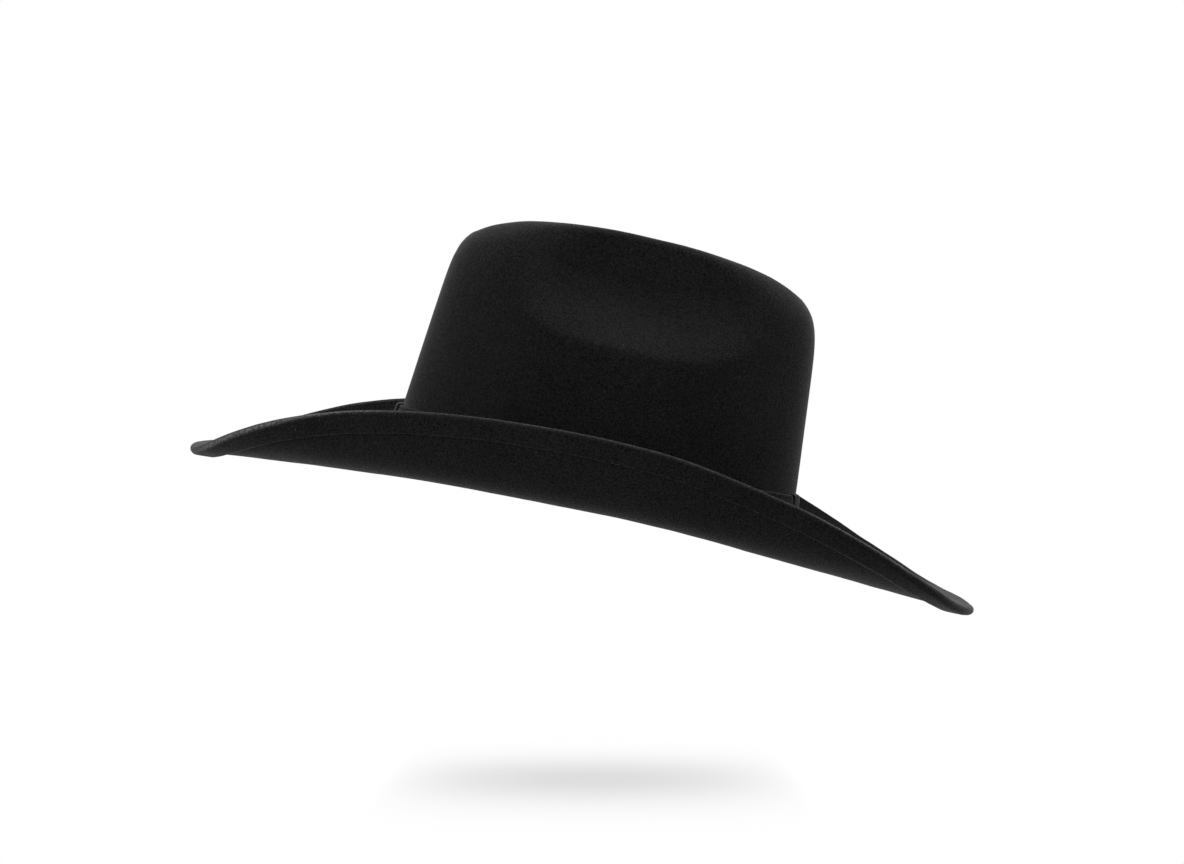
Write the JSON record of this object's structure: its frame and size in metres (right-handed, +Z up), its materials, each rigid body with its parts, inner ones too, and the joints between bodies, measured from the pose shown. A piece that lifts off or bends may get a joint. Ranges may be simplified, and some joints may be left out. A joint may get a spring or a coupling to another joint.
{
  "type": "cowboy hat",
  "caption": "Black felt western hat with a cattleman-creased oval crown, side-rolled brim with a turned-under edge, felt band, leather sweatband and satin lining.",
  "frame": {"origin": "centre of the head opening, on the plane of the brim break where the crown meets the brim", "axes": "+X to the wearer's front, +Y to the wearer's left, +Z up through the crown"},
  "size_m": [0.402, 0.3368, 0.1501],
  "materials": {
    "felt": "matte brushed fur felt",
    "band_felt": "matte pressed felt",
    "thread": "black sewing thread",
    "sweat_leather": "satin roan leather",
    "seam_thread": "waxed thread",
    "reed": "plain",
    "tape": "ribbed ribbon",
    "satin": "satin weave",
    "tag": "plain woven, blank"
  },
  "bodies": {
    "hat": {"felt_body": "felt", "brim_welt_stitching": "thread", "sweatband": "sweat_leather", "sweatband_reed": "reed", "reed_cover": "tape", "sweatband_stitching": "thread", "sweatband_seam_tape": "tape", "sweatband_seam_stitching": "seam_thread", "sweatband_bow": "tape", "liner_side": "satin", "liner_tip": "satin", "liner_piping": "tape", "liner_seam_stitching": "thread", "size_tag": "tag"},
    "band": {"hat_band": "band_felt", "band_edge_stitching": "thread", "band_rear_keeper": "band_felt"},
    "front_keeper": {"band_front_keeper": "band_felt"}
  },
  "joints": [
    {"name": "band_lift", "type": "slide", "parent": "hat", "child": "band", "axis": [0, 0, 1], "range_m": [0, 0.14]},
    {"name": "keeper_slide", "type": "hinge", "parent": "band", "child": "front_keeper", "pos_m": [0.03044, 0.00045, 0], "axis": [0, 0, 1], "range_deg": [-1.2, 2.5]}
  ]
}
